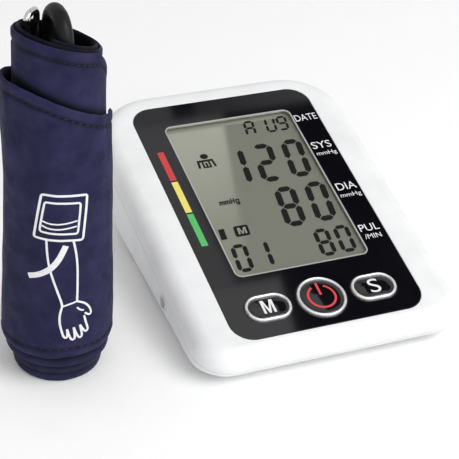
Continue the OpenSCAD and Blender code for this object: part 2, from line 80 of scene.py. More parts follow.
def level(x, y, z):
    """A point in mm from the place on the table under the middle of the face."""
    return Vector((PLATE_CENTRE.x + x * MM, PLATE_CENTRE.y + y * MM, z * MM))


# ---------- camera ----------

CAMERA_BACK = Vector((-0.2359, -0.4737, 0.3527))
CAMERA_RIGHT = Vector((0.9215, -0.3819, 0.0700))
CAMERA_UP = Vector((0.1653, 0.5490, 0.8192))
CAMERA_AIM = math.radians(0.48)
CAMERA_LENS = 124.3
CAMERA_AT = PLATE_CENTRE + CAMERA_BACK


def link(obj):
    """Puts an object into the scene."""
    bpy.context.scene.collection.objects.link(obj)
    return obj


def make_camera():
    data = bpy.data.cameras.new("camera")
    data.lens = CAMERA_LENS
    data.sensor_width = 36
    data.clip_start = 0.01
    data.clip_end = 20
    cam = link(bpy.data.objects.new("camera", data))
    toward = CAMERA_RIGHT.cross(CAMERA_UP)
    turned = Matrix((CAMERA_RIGHT, CAMERA_UP, toward)).transposed().to_4x4()
    aim = Matrix.Rotation(CAMERA_AIM, 4, "Y")
    cam.matrix_world = Matrix.Translation(CAMERA_AT) @ turned @ aim
    bpy.context.scene.camera = cam


make_camera()

# ---------- materials ----------


def shader(name, color, rough, **more):
    """A new material; more sets other sockets of its shader, with _ for a space."""
    mat = bpy.data.materials.new(name)
    mat.use_nodes = True
    bsdf = mat.node_tree.nodes["Principled BSDF"]
    bsdf.inputs["Base Color"].default_value = (*color, 1)
    bsdf.inputs["Roughness"].default_value = rough
    for key, value in more.items():
        bsdf.inputs[key.replace("_", " ")].default_value = value
    return mat


def node(mat, kind, **sockets):
    """A new node in a material, with values on its sockets."""
    made = mat.node_tree.nodes.new(kind)
    for key, value in sockets.items():
        made.inputs[key.replace("_", " ")].default_value = value
    return made


def wire(mat, a, out, b, into):
    mat.node_tree.links.new(a.outputs[out], b.inputs[into])


def bsdf_of(mat):
    return mat.node_tree.nodes["Principled BSDF"]


def stretched(mat, space, scale):
    """Texture coordinates in a space, scaled along each axis."""
    mapping = node(mat, "ShaderNodeMapping", Scale=scale)
    wire(mat, node(mat, "ShaderNodeTexCoord"), space, mapping, "Vector")
    return mapping


def add_bump(mat, height_node, out, strength, distance):
    """Fine relief; distance is its depth in metres."""
    bump = node(mat, "ShaderNodeBump", Strength=strength, Distance=distance)
    wire(mat, height_node, out, bump, "Height")
    wire(mat, bump, "Normal", bsdf_of(mat), "Normal")


def speckle(mat, scale, detail=4):
    """Noise with about scale spots to the metre."""
    tex = node(mat, "ShaderNodeTexNoise", Scale=scale, Detail=detail)
    wire(mat, node(mat, "ShaderNodeTexCoord"), "Object", tex, "Vector")
    return tex


def vary(mat, tex, low, high, into="Base Color"):
    """Colours or roughness that wander between two values with a noise."""
    ramp = mat.node_tree.nodes.new("ShaderNodeValToRGB")
    for end, position, value in zip(ramp.color_ramp.elements, (0.35, 0.65), (low, high)):
        end.position = position
        end.color = (*value, 1) if into == "Base Color" else (value, value, value, 1)
    wire(mat, tex, "Fac", ramp, "Fac")
    wire(mat, ramp, "Color", bsdf_of(mat), into)


def scaled(color, k):
    return tuple(min(c * k, 1) for c in color)


def plastic(name, color, rough, grain=9000, depth=0.00002, spread=0.04):
    """Moulded plastic: fine spark grain, faint tone and polish variation."""
    mat = shader(name, color, rough)
    vary(mat, speckle(mat, 60), scaled(color, 1 - spread), scaled(color, 1 + spread))
    vary(mat, speckle(mat, 140), rough * 0.85, rough * 1.2, "Roughness")
    add_bump(mat, speckle(mat, grain, 2), "Fac", 0.25, depth)
    return mat


def metal(name, color, rough, grain=(400, 400, 4000), metallic=1.0):
    """Metal whose tone, polish and relief follow a brushed grain."""
    mat = shader(name, color, rough, Metallic=metallic)
    tex = node(mat, "ShaderNodeTexNoise", Scale=1.0, Detail=3)
    wire(mat, stretched(mat, "Object", grain), "Vector", tex, "Vector")
    vary(mat, tex, rough * 0.8, rough * 1.3, "Roughness")
    vary(mat, tex, scaled(color, 0.93), scaled(color, 1.04))
    add_bump(mat, tex, "Fac", 0.1, 0.00001)
    return mat


def rubber(name, color, rough, specular=0.5):
    """Soft black or milky rubber with a dusty, uneven polish."""
    mat = shader(name, color, rough, Specular_IOR_Level=specular)
    vary(mat, speckle(mat, 90), scaled(color, 0.8), scaled(color, 1.3))
    vary(mat, speckle(mat, 300), rough * 0.85, rough * 1.15, "Roughness")
    add_bump(mat, speckle(mat, 6000, 2), "Fac", 0.3, 0.00003)
    return mat


def gloss_black(name, color, rough=0.04):
    """Black acrylic: dark underneath, with all its gloss in a clear coat."""
    coat = {"Coat_Weight": 1.0, "Coat_Roughness": rough, "Coat_IOR": 1.62}
    mat = shader(name, color, 0.3, Specular_IOR_Level=0.0, **coat)
    vary(mat, speckle(mat, 40), scaled(color, 0.8), scaled(color, 1.2))
    return mat


def reflector(name, color):
    """The display's reflecting foil: half diffuse, half mirror, with a fine grain."""
    mat = shader(name, color, 0.03, Metallic=0.58, Specular_IOR_Level=0.2)
    vary(mat, speckle(mat, 2500), scaled(color, 0.97), scaled(color, 1.03))
    return mat


def printed(name, color, specular=0.5):
    """Matt ink."""
    mat = shader(name, color, 0.45, Specular_IOR_Level=specular)
    vary(mat, speckle(mat, 900), scaled(color, 0.93), color)
    return mat


def nylon(name, low, high, threads):
    """Plain woven nylon: two crossed sets of threads, with wandering tone and painted shade at hems, edges
    and under the next turn.
    """
    mat = shader(name, high, 0.75, Sheen_Weight=0.03, Sheen_Roughness=0.4, Specular_IOR_Level=0.12)
    cloth = stretched(mat, "UV", (threads, threads, 1))
    weave = node(mat, "ShaderNodeMath")
    weave.operation = "MAXIMUM"
    for socket, direction in enumerate(("X", "Y")):
        wave = node(mat, "ShaderNodeTexWave", Scale=1.0, Distortion=0.6, Detail=1.0)
        wave.bands_direction = direction
        wire(mat, cloth, "Vector", wave, "Vector")
        wire(mat, wave, "Fac", weave, socket)
    vary(mat, speckle(mat, 110, 8), low, high)
    vary(mat, speckle(mat, 240), 0.62, 0.82, "Roughness")
    # Painted shade: a point attribute mixes the tone towards a near-black navy at hems, edges and under the
    # turn above.
    depth = node(mat, "ShaderNodeAttribute")
    depth.attribute_name = "painted_shade"
    painted_shade_mix = node(mat, "ShaderNodeMixRGB", Color2=(*scaled(low, 0.12), 1))
    tone = bsdf_of(mat).inputs["Base Color"].links[0].from_socket
    wire(mat, depth, "Fac", painted_shade_mix, "Fac")
    mat.node_tree.links.new(tone, painted_shade_mix.inputs["Color1"])
    wire(mat, painted_shade_mix, "Color", bsdf_of(mat), "Base Color")
    add_bump(mat, weave, "Value", 0.35, 0.00012)
    return mat


M = {
    "housing": plastic("housing_white", (0.82, 0.825, 0.83), 0.34),
    "plate": gloss_black("faceplate_gloss", (0.004, 0.004, 0.006)),
    "window": shader("window_clear", (0.06, 0.065, 0.065), 0.02, Alpha=0.06),
    "bezel": plastic("bezel_grey", (0.52, 0.53, 0.52), 0.35),
    "lcd": reflector("lcd_grey_green", (0.55, 0.565, 0.465)),
    "lcd_light": printed("lcd_light", (0.36, 0.37, 0.3), 0.1),
    "segment": printed("lcd_segment", (0.006, 0.006, 0.005), 0.1),
    "chrome": metal("key_chrome", (0.9, 0.9, 0.91), 0.3, (900, 900, 900), 0.75),
    "rim": plastic("window_rim", (0.42, 0.43, 0.41), 0.35),
    "key": gloss_black("key_gloss", (0.005, 0.005, 0.007), 0.05),
    "ink": printed("label_ink", (0.82, 0.82, 0.83)),
    "red": printed("scale_red", (0.62, 0.045, 0.05)),
    "yellow": printed("scale_yellow", (0.85, 0.74, 0.16)),
    "green": printed("scale_green", (0.09, 0.5, 0.14)),
    "power": printed("power_red", (0.72, 0.05, 0.06)),
    "silicone_pink": rubber("silicone_pink", (0.72, 0.38, 0.42), 0.6),
    "silicone": rubber("silicone_clear", (0.72, 0.72, 0.68), 0.35),
    "board": plastic("board_green", (0.015, 0.12, 0.045), 0.35, 2500, 0.00004, 0.25),
    "chip": plastic("chip_black", (0.02, 0.02, 0.022), 0.5),
    "sensor": metal("sensor_metal", (0.6, 0.6, 0.62), 0.35),
    "cream": plastic("moulded_cream", (0.66, 0.62, 0.52), 0.45),
    "motor": metal("motor_steel", (0.55, 0.56, 0.58), 0.3),
    "magnet": plastic("magnet_grey", (0.07, 0.07, 0.075), 0.7, 3000, 0.00005, 0.2),
    "rotor": metal("rotor_copper", (0.6, 0.3, 0.14), 0.35, (9000, 300, 300)),
    "dark": plastic("moulded_black", (0.022, 0.022, 0.025), 0.45),
    "steel": metal("bright_steel", (0.66, 0.67, 0.69), 0.25),
    "socket": plastic("socket_white", (0.7, 0.7, 0.68), 0.4),
    "cell": plastic("cell_wrap", (0.26, 0.3, 0.34), 0.25, 4000, 0.00001, 0.2),
    "nickel": metal("contact_nickel", (0.62, 0.61, 0.56), 0.3),
    "foot": rubber("rubber_dark", (0.03, 0.03, 0.032), 0.8),
    "navy": nylon("cuff_navy", (0.0135, 0.0135, 0.045), (0.025, 0.0245, 0.073), 900),
    "thread": plastic("thread_navy", (0.012, 0.012, 0.034), 0.7, 5000, 0.00003, 0.3),
    "wire_ring": metal("ring_steel", (0.8, 0.79, 0.77), 0.16, (900, 900, 900)),
    "hose": rubber("hose_black", (0.006, 0.006, 0.007), 0.42, 0.22),
    "plug": plastic("plug_black", (0.018, 0.018, 0.02), 0.4),
    "floor": plastic("floor_pale", (0.98, 0.98, 0.98), 0.7, 40, 0.0, 0.004),
}

# ---------- mesh helpers ----------


def mesh_object(name, verts, faces, merge=0.0):
    """A bare object from points and faces that look outward; points closer than merge are joined."""
    mesh = bpy.data.meshes.new(name)
    mesh.from_pydata([tuple(v) for v in verts], [], faces)
    bm = bmesh.new()
    bm.from_mesh(mesh)
    if merge:
        bmesh.ops.remove_doubles(bm, verts=bm.verts, dist=merge)
    bmesh.ops.recalc_face_normals(bm, faces=bm.faces)
    bm.to_mesh(mesh)
    bm.free()
    return link(bpy.data.objects.new(name, mesh))


def dress(obj, mat, body, angle=35):
    """Gives a piece its material and shading, and lets it ride on a body."""
    obj.data.materials.clear()
    obj.data.materials.append(M[mat])
    if obj.type == "MESH":
        obj.data.polygons.foreach_set("use_smooth", [True] * len(obj.data.polygons))
        obj.data.set_sharp_from_angle(angle=math.radians(angle))
    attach(obj, body)
    return obj


def finish_mesh(name, skin, mat, body, angle=35):
    """A dressed piece from a skin, which is its points and its faces."""
    return dress(mesh_object(name, *skin, 1e-7), mat, body, angle)


def baked(obj):
    """The mesh of an object with its curve or modifiers worked out."""
    bpy.context.view_layer.update()
    return bpy.data.meshes.new_from_object(obj.evaluated_get(bpy.context.evaluated_depsgraph_get()))


def loft(loops, around=True, along=False, cap_first=False, cap_last=False):
    """Vertices and faces of a skin over loops that have the same number of points."""
    n = len(loops[0])
    verts = [p for loop in loops for p in loop]
    rows = len(loops)
    faces = []
    for i in range(rows if along else rows - 1):
        a, b = i * n, ((i + 1) % rows) * n
        for k in range(n if around else n - 1):
            j = (k + 1) % n
            faces.append((a + k, a + j, b + j, b + k))
    if cap_first:
        faces.append(tuple(range(n)))
    if cap_last:
        faces.append(tuple((rows - 1) * n + k for k in range(n)))
    return verts, faces


def circle_points(center, across, up, r, n=48):
    """Points of a circle in the plane of two directions."""
    angles = [2 * math.pi * k / n for k in range(n)]
    return [center + (across * math.cos(a) + up * math.sin(a)) * r for a in angles]


def joined(skins):
    """One skin from several."""
    verts, faces = [], []
    for points, skin in skins:
        faces += [tuple(i + len(verts) for i in face_points) for face_points in skin]
        verts += points
    return verts, faces


def arc(cx, cy, r, start, n):
    """Points of a quarter circle."""
    return [
        (cx + r * math.cos(a), cy + r * math.sin(a))
        for a in (math.radians(start + 90 * k / n) for k in range(n + 1))
    ]


def outline(half, front, back, rf, rb, n=16, edge=8):
    """Closed outline with one corner radius at the front and another at the back."""
    corners = [
        arc(half - rb, back - rb, rb, 0, n),
        arc(rb - half, back - rb, rb, 90, n),
        arc(rf - half, front + rf, rf, 180, n),
        arc(half - rf, front + rf, rf, 270, n),
    ]
    points = []
    for i, corner in enumerate(corners):
        points += corner
        (x0, y0), (x1, y1) = corner[-1], corners[(i + 1) % 4][0]
        points += [(x0 + (x1 - x0) * k / edge, y0 + (y1 - y0) * k / edge) for k in range(1, edge)]
    return points


def rect(w, l, r, cy=0.0, **more):
    """Outline of a rectangle with round corners, w wide and l long."""
    return outline(w / 2, cy - l / 2, cy + l / 2, r, r, **more)


def lift(points, z):
    """An outline put on the face, z mm above it."""
    return [face(x, y, z) for x, y in points]


def flat_plate(name, outer, holes, low, high, bevel):
    """Mesh of a plate on the face, with holes and softly broken edges, from outlines in mm."""
    curve = bpy.data.curves.new(name, "CURVE")
    curve.dimensions = "2D"
    curve.fill_mode = "BOTH"
    curve.extrude = (high - low) / 2 - bevel
    curve.bevel_depth = bevel
    curve.bevel_resolution = 2
    curve.offset = -bevel
    for loop in [outer, *holes]:
        spline = curve.splines.new("POLY")
        spline.points.add(len(loop) - 1)
        for point, (x, y) in zip(spline.points, loop):
            point.co = (x, y, 0, 1)
        spline.use_cyclic_u = True
    maker = link(bpy.data.objects.new(name + "_maker", curve))
    made = baked(maker)
    bpy.data.objects.remove(maker)
    for v in made.vertices:
        v.co = face(v.co.x, v.co.y, v.co.z + (high + low) / 2)
    made.name = name
    return link(bpy.data.objects.new(name, made))


def thicken(bm, thick):
    """Turns flat faces on the face plane into a thin closed solid."""
    made = bmesh.ops.extrude_face_region(bm, geom=list(bm.faces))
    for v in (g for g in made["geom"] if isinstance(g, bmesh.types.BMVert)):
        v.co += FACE_OUT * (thick * MM)
    bmesh.ops.recalc_face_normals(bm, faces=bm.faces)


def printed_piece(name, bm, thick, mat, body):
    """A thin dressed piece from flat faces on the face plane."""
    thicken(bm, thick)
    mesh = bpy.data.meshes.new(name)
    bm.to_mesh(mesh)
    bm.free()
    return dress(link(bpy.data.objects.new(name, mesh)), mat, body, 30)


def lettering(name, text, x0, x1, y0, y1, z, mat, body, thick):
    """Text as a thin mesh that fills a box on the face: x0..x1 wide, y0..y1 tall, in mm."""
    font = bpy.data.curves.new(name, "FONT")
    font.body = text
    font.size = 1
    font.resolution_u = 6
    maker = link(bpy.data.objects.new(name + "_maker", font))
    made = baked(maker)
    bpy.data.objects.remove(maker)
    xs = [v.co.x for v in made.vertices]
    ys = [v.co.y for v in made.vertices]
    sx = (x1 - x0) / (max(xs) - min(xs))
    sy = (y1 - y0) / (max(ys) - min(ys))
    bm = bmesh.new()
    bm.from_mesh(made)
    bpy.data.meshes.remove(made)
    bmesh.ops.remove_doubles(bm, verts=bm.verts, dist=1e-5)
    for v in bm.verts:
        v.co = face(x0 + (v.co.x - min(xs)) * sx, y0 + (v.co.y - min(ys)) * sy, z)
    return printed_piece(name, bm, thick, mat, body)


def flat_shapes(name, polygons, z, mat, body, thick, place=face):
    """Flat outlines on the face or the display, as one thin piece."""
    bm = bmesh.new()
    for polygon in polygons:
        bm.faces.new([bm.verts.new(place(x, y, z)) for x, y in polygon])
    return printed_piece(name, bm, thick, mat, body)


def cut_away(obj, cutters):
    """Takes cutters out of a piece, once and for all."""
    for i, cutter in enumerate(cutters):
        mod = obj.modifiers.new(f"cut_{i}", "BOOLEAN")
        mod.operation = "DIFFERENCE"
        mod.solver = "EXACT"
        mod.object = cutter
    made = baked(obj)
    obj.modifiers.clear()
    obj.data = made
    for cutter in cutters:
        bpy.data.objects.remove(cutter)


def cylinder_cutter(name, a, b, r):
    a, b = Vector(a), Vector(b)
    axis = (b - a).normalized()
    side = axis.orthogonal().normalized()
    loops = [circle_points(p, side, axis.cross(side), r) for p in (a, b)]
    return mesh_object(name, *loft(loops, cap_first=True, cap_last=True))


def box_cutter(name, low, high):
    (x0, y0, z0), (x1, y1, z1) = low, high
    loops = [[Vector(p) for p in ((x0, y0, z), (x1, y0, z), (x1, y1, z), (x0, y1, z))] for z in (z0, z1)]
    return mesh_object(name, *loft(loops, cap_first=True, cap_last=True))


# ---------- the hose, first of the soft pieces ----------

HOSE_D = 6 * MM
# Down and up inside the roll in long bends, from the cuff's port to the plug, in mm.
HOSE_ROUTE = [
    *((0, -8.4, z) for z in (66, 84, 102, 120, 134)),
    (0, -6, 140), (0, 0, 142.5), (0, 6, 140),
    *((0, 8.4, z) for z in (134, 116, 98, 80, 62, 44, 26, 12)),
    (0, 6, 6), (0, 0, 3.6), (0, -6, 6), (0, -8.4, 12),
    (0.4, -8.2, 24), (3, -6.4, 36), (6.4, -3, 46), (8.2, -0.6, 58),
    *((8.4, 0, z) for z in (72, 88, 104, 118)),
    (6, 0, 124), (0, 0, 126.5), (-6, 0, 124),
    *((-8.4, 0, z) for z in (118, 98, 78, 58, 38)),
]


def cuff_point(x, y, z):
    """A point in mm from the middle of the roll's foot."""
    return Vector((CUFF_X + x * MM, CUFF_Y + y * MM, z * MM))


def make_hose():
    curve = bpy.data.curves.new("air_hose", "CURVE")
    curve.dimensions = "3D"
    curve.bevel_depth = HOSE_D / 2
    curve.bevel_resolution = 6
    curve.resolution_u = 8
    curve.use_fill_caps = True
    points = [cuff_point(*p) for p in HOSE_ROUTE]
    spline = curve.splines.new("BEZIER")
    spline.bezier_points.add(len(points) - 1)
    for knot, point in zip(spline.bezier_points, points):
        knot.co = point
        knot.handle_left_type = knot.handle_right_type = "AUTO"
    hose = dress(link(bpy.data.objects.new("air_hose", curve)), "hose", "cuff")
    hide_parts("cuff_hose")
    plug = make_plug()


def make_plug():
    """A turned plug that hangs from the hose's end: a ribbed grip over a barbed nose."""
    ribs = []
    for k in range(7):
        h = -2 - 1.7 * k
        ribs += [(3.0, h), (3.0, h - 0.9), (2.7, h - 1.1), (2.7, h - 1.5)]
    grip = [(2.2, 0), (2.8, -0.3), (3.0, -0.9), *ribs, (2.35, -14.2), (2.35, -17)]
    nose = [(2.05, -17.4), (2.05, -18.4), (2.35, -18.8), (2.2, -23.4), (1.8, -24)]
    x, y, top = HOSE_ROUTE[-1]
    across, along = Vector((1, 0, 0)), Vector((0, 1, 0))
    loops = [circle_points(cuff_point(x, y, top + h), across, along, r * MM, 64) for r, h in grip + nose]
    skin = loft(loops, cap_first=True, cap_last=True)
    plug = finish_mesh("air_plug", skin, "plug", "cuff")
    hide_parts("hose_plug")
    return plug


make_hose()

# ---------- the housing ----------

PARTING = -8.0
WALL = 2.2
HALF_W, FRONT, BACK = 55.5, 72.0, 75.0
FRONT_R, BACK_R = 14.0, 26.0
SHOULDER = 6.9
BASE_Z = 1.5
FACE_Z = PLATE_CENTRE.z / MM
FAN_Y = (BASE_Z - FACE_Z - PARTING / math.cos(TILT)) / math.tan(TILT)
FAN_REACH = -(FAN_Y * math.cos(TILT) + (BASE_Z - FACE_Z) * math.sin(TILT))


def housing_outline(inset):
    """The housing's outline at its parting, seen square to the face."""
    return outline(
        HALF_W - inset, inset - FRONT, BACK - inset,
        max(FRONT_R - inset, 3), max(BACK_R - inset, 3),
    )


def make_top_shell():
    """Shoulders, the recess for the faceplate, and an inside wall, as one closed ring."""
    loops = [
        lift(housing_outline(WALL), PARTING),
        lift(housing_outline(0.4), PARTING),
        lift(housing_outline(0.12), PARTING + 0.1),
        lift(housing_outline(0.0), PARTING + 0.35),
    ]
    steps = 14
    for k in range(1, steps + 1):
        a = math.radians(90 * k / steps)
        inset = SHOULDER * (1 - math.cos(a) ** 1.1)
        loops.append(lift(housing_outline(inset), (PARTING + 0.35) * (1 - math.sin(a))))
    panel = [(0.42, 0.0), (0.2, -0.05), (0.08, -0.18), (0.04, -0.4), (0.04, -PLATE_THICK)]
    for grow, z in panel:
        loops.append(lift(rect(PLATE_W + 2 * grow, PLATE_L + 2 * grow, 9 + grow), z))
    opening = outline(35, -62, 57, 6, 6)
    under = -PLATE_THICK - WALL
    loops += [lift(opening, -PLATE_THICK), lift(opening, under)]
    for inset, drop in ((5, 0), (1.4, 1.2), (0, 2.6)):
        loops.append(lift(housing_outline(WALL + inset), under - drop))
    skin = loft(loops, along=True)
    shell = finish_mesh("top_shell_skin", skin, "housing", "monitor", 40)
    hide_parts("top_shell")


def fan_loop(t, inset, drop=0.0):
    """A slice of the bottom shell: t is 0 at the parting plane and 1 at the base."""
    a = TILT * (1 - t)
    points = outline(
        HALF_W - 0.8 * t - 3.7 * t**6 - inset,
        FAN_REACH - FRONT + 7 * t * t + inset,
        FAN_REACH + BACK - 30 * t - 3 * t**8 - inset,
        FRONT_R - 2 * t - inset,
        BACK_R - 4 * t - inset,
    )
    return [level(x, FAN_Y + y * math.cos(a), BASE_Z + y * math.sin(a) + drop) for x, y in points]


def make_bottom_shell():
    """A closed skin fanned from the parting to the base, then cut open for what goes through it."""
    base = [fan_loop(1, 10), fan_loop(1, 6), fan_loop(1, 1.2), fan_loop(0.985, 0.3)]
    outside = [fan_loop(k / 30, 0) for k in range(29, 0, -1)]
    rim = [fan_loop(0.015, 0.0), fan_loop(0.005, 0.14), fan_loop(0, 0.45), fan_loop(0, WALL)]
    inside = [fan_loop(t, WALL) for t in (0.15, 0.3, 0.5, 0.7)]
    floor = [fan_loop(0.86, WALL, 0.4), fan_loop(1, WALL + 0.5, WALL), fan_loop(1, 9, WALL)]
    skin = loft(base + outside + rim + inside + floor, cap_first=True, cap_last=True)
    shell = mesh_object("bottom_shell_skin", *skin, 1e-7)
    cut_away(shell, [bay_cutter(), *port_cutters(), *screw_cutters()])
    dress(shell, "housing", "monitor", 40)
    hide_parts("bottom_shell")


def bay_cutter():
    """The opening that the battery door closes."""
    hinge = Vector(JOINTS["battery_door_hinge"]["pos_m"])
    door_low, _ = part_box("battery_door")
    low, high = level(-48.5, 0, -10), level(2.5, 0, BASE_Z + WALL + 1)
    low.y, high.y = door_low.y - 0.3 * MM, hinge.y + 1.1 * MM
    return box_cutter("bay_cut", low, high)


def port_cutters():
    """Round holes for the air socket in the left wall and the power jack in the right one."""
    cutters = []
    for name, side, r in (("air_socket", -1, 3.45), ("power_jack", 1, 3.65)):
        low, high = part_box(name)
        _, y, z = (low + high) / 2
        wall = low.x if side < 0 else high.x
        ends = [(wall + side * 4 * MM, y, z), (wall - side * 9 * MM, y, z)]
        cutters.append(cylinder_cutter(name + "_cut", *ends, r * MM))
    return cutters


def screw_cutters():
    places = [(x, y) for x in (-47, 47) for y in (-50, 40)]
    return [cylinder_cutter("screw_cut", level(x, y, -10), level(x, y, 3.3), 2.6 * MM) for x, y in places]


def make_battery_bay():
    """The box that holds the cells, open at the bottom."""
    (x0, y0), (x1, y1) = (-49.6, -12.1), (3.6, 33.9)
    wall, low, high = 1.1, 3.0, 15.3

    def ring(inset, z):
        loop = outline((x1 - x0) / 2 - inset, y0 + inset, y1 - inset, 1.2, 1.2, 4, 2)
        return [level((x0 + x1) / 2 + x, y, z) for x, y in loop]

    outside = loft([ring(0, low), ring(0, high)], cap_last=True)
    inside = loft([ring(wall, low), ring(wall, high - wall)], cap_last=True)
    edge = loft([ring(0, low), ring(wall, low)])
    skin = joined([outside, inside, edge])
    finish_mesh("battery_bay", skin, "housing", "monitor", 30)


make_top_shell()
make_bottom_shell()
make_battery_bay()

# ---------- the face ----------

WINDOW_W, WINDOW_L, WINDOW_Y, WINDOW_R = 57.0, 86.0, 9.0, 3.2
KEY_ROW = -50.9
KEY_X = {"m": -22.2, "power": 0.0, "s": 22.2}
KEY_W, KEY_D, POWER_D = 18.6, 12.6, 19.6
RING_W = 1.3


def key_loop(which, grow, n=96):
    """Outline of a key: two round ends, or a circle for the power key."""
    if which == "power":
        r = POWER_D / 2 + grow
        angles = [2 * math.pi * k / n for k in range(n)]
        return [(r * math.cos(a), KEY_ROW + r * math.sin(a)) for a in angles]
    r = KEY_D / 2 + grow
    x = KEY_X[which] + (KEY_W - KEY_D) / 2
    angles = [math.pi * k / (n // 2 - 1) for k in range(n // 2)]
    right = [(x + r * math.sin(a), KEY_ROW - r * math.cos(a)) for a in angles]
    left = [(2 * KEY_X[which] - x, 2 * KEY_ROW - y) for x, y in right]
    return right + left


def make_faceplate():
    holes = [rect(WINDOW_W, WINDOW_L, WINDOW_R, WINDOW_Y)] + [key_loop(k, 0.25) for k in KEY_X]
    plate = flat_plate("faceplate_skin", rect(PLATE_W, PLATE_L, 9), holes, -PLATE_THICK, 0, 0.22)
    dress(plate, "plate", "monitor", 18)
    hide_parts("faceplate")


def make_window_rim():
    """Pale line of the clear window's bevelled edge."""
    loops = []
    section = [(0.05, -1.2), (0.05, 0.0), (0.25, 0.03), (0.55, -0.02), (0.6, -0.1), (0.2, -1.2)]
    for shrink, z in section:
        w, l = WINDOW_W - 2 * shrink, WINDOW_L - 2 * shrink
        loops.append(lift(rect(w, l, WINDOW_R - shrink, WINDOW_Y), z))
    finish_mesh("window_rim", loft(loops, along=True), "rim", "monitor", 30)


SEGMENTS = {
    "0": "abcdef", "1": "bc", "2": "abged", "8": "abcdefg",
    "A": "abcefg", "U": "bcdef", "9": "abcdfg",
}


def segment_shapes(char, x, y, w, h, stroke, slant, gap):
    """Seven-segment strokes; x, y is the lower left corner of the stroke lines' box."""
    half = h / 2
    t = stroke / 2
    ends = {
        "a": ((0, h), (w, h)), "g": ((0, half), (w, half)), "d": ((0, 0), (w, 0)),
        "f": ((0, half), (0, h)), "b": ((w, half), (w, h)),
        "e": ((0, 0), (0, half)), "c": ((w, 0), (w, half)),
    }
    shapes = []
    for name in SEGMENTS[char]:
        (ax, ay), (bx, by) = ends[name]
        flat = ay == by
        ux, uy = (1, 0) if flat else (0, 1)
        ax, ay, bx, by = ax + ux * gap, ay + uy * gap, bx - ux * gap, by - uy * gap
        six = [
            (ax, ay), (ax + ux * t - uy * t, ay + uy * t - ux * t),
            (bx - ux * t - uy * t, by - uy * t - ux * t), (bx, by),
            (bx - ux * t + uy * t, by - uy * t + ux * t), (ax + ux * t + uy * t, ay + uy * t + ux * t),
        ]
        shapes.append([(x + px + py * slant, y + py) for px, py in six])
    return shapes


LCD_TOP = face_top("lcd_glass")
# How far the camera's line of sight moves right and up the face for each mm that it rises.
SIGHT = (0.494, 0.856)


def on_display(x, y, z):
    """A point on the display that shows behind the point x, y of the face."""
    return face(x - SIGHT[0] * LCD_TOP, y - SIGHT[1] * LCD_TOP, LCD_TOP + z)


def bar(x0, y0, x1, y1, t):
    """Outline of a straight stroke."""
    dx, dy = x1 - x0, y1 - y0
    s = t / 2 / math.hypot(dx, dy)
    return [
        (x0 - dy * s, y0 + dx * s), (x0 + dy * s, y0 - dx * s),
        (x1 + dy * s, y1 - dx * s), (x1 - dy * s, y1 + dx * s),
    ]


def letter_m(x, y, w, h, t, slant=0.0):
    """Outline of a plain capital M."""
    points = [
        (0, 0), (0, h), (1.35 * t, h), (w / 2, 0.28 * h), (w - 1.35 * t, h), (w, h), (w, 0), (w - t, 0),
        (w - t, 0.72 * h), (w / 2 + 0.4 * t, 0), (w / 2 - 0.4 * t, 0), (t, 0.72 * h), (t, 0),
    ]
    return [(x + px + py * slant, y + py) for px, py in points]


def show(name, shapes):
    """Dark shapes on the display."""
    flat_shapes(name, shapes, 0.01, "segment", "monitor", 0.04, on_display)


def display_unit_shapes():
    """Strokes of the small mmHg at the display's left: m, m, H and g."""
    t, low, high = 0.55, 4.0, 6.1
    strokes = []
    for x in (-20.7, -18.3):
        strokes += [(x + dx, low, x + dx, high, t) for dx in (0.0, 0.85, 1.7)]
        strokes.append((x - t / 2, high - t / 2, x + 1.7 + t / 2, high - t / 2, t))
    strokes += [(-15.8, low, -15.8, 6.9, t), (-14.6, low, -14.6, 6.9, t), (-15.8, 5.4, -14.6, 5.4, t)]
    strokes += [(-13.7, low, -13.7, high, t), (-12.6, 3.0, -12.6, high, t)]
    strokes += [(-13.9, y, -12.4, y, t) for y in (3.3, low + 0.15, high - t / 2)]
    return [[(x + y * 0.1 - 0.5, y) for x, y in bar(*s)] for s in strokes]


def make_display():
    big = {"w": 6.6, "h": 19.2, "stroke": 2.7, "slant": 0.118, "gap": 0.3}
    small = {"w": 4.9, "h": 12.6, "stroke": 1.85, "slant": 0.085, "gap": 0.24}
    tiny = {"w": 3.7, "h": 7.5, "stroke": 1.15, "slant": 0.13, "gap": 0.18}
    rows = [
        ("120", [-10.6, 2.5, 15.9], 13.6, big),
        ("80", [2.5, 15.9], -12.2, big),
        ("80", [10.0, 18.8], -30.7, small),
        ("01", [-25.6, -16.8], -31.0, small),
        ("AU9", [5.3, 14.9, 20.3], 40.5, tiny),
    ]
    shapes = []
    for text, xs, y, style in rows:
        for char, x in zip(text, xs):
            shapes += segment_shapes(char, x, y, **style)
    shapes.append([(-27.2, -13.9), (-24.7, -13.9), (-24.2, -8.3), (-26.7, -8.3)])
    show("display_segments", shapes)
    show("display_unit", display_unit_shapes())
    box = [(x + y * 0.1 - 17.5, y - 10.9) for x, y in rect(6.2, 5.6, 0.8, n=3, edge=2)]
    show("memory_icon_box", [box])
    letter = letter_m(-19.3, -12.6, 3.6, 3.4, 0.75, 0.1)
    flat_shapes("memory_icon_letter", [letter], 0.05, "lcd_light", "monitor", 0.01, on_display)
    make_person_icon()


def make_person_icon():
    """A seated figure: a head over shoulders, arms and a chest."""
    angles = [2 * math.pi * k / 24 for k in range(24)]
    head = [(1.7 * math.cos(a) + 0.6, 1.5 * math.sin(a) + 4.2) for a in angles]
    strokes = [
        (-3.4, 1.7, 3.6, 1.7, 1.1), (-3.0, 1.1, -3.4, -2.2, 1.0), (3.2, 1.1, 3.6, -2.2, 1.0),
        (-1.2, 1.1, -1.4, -2.4, 0.8), (1.5, 1.1, 1.6, -2.4, 0.8), (0.1, 0.4, 0.15, -1.7, 0.9),
        (-1.0, -2.1, 1.2, -2.1, 0.7),
    ]
    shapes = [head] + [bar(*s) for s in strokes]
    show("person_icon", [[(x - 18.2, y + 28.0) for x, y in shape] for shape in shapes])


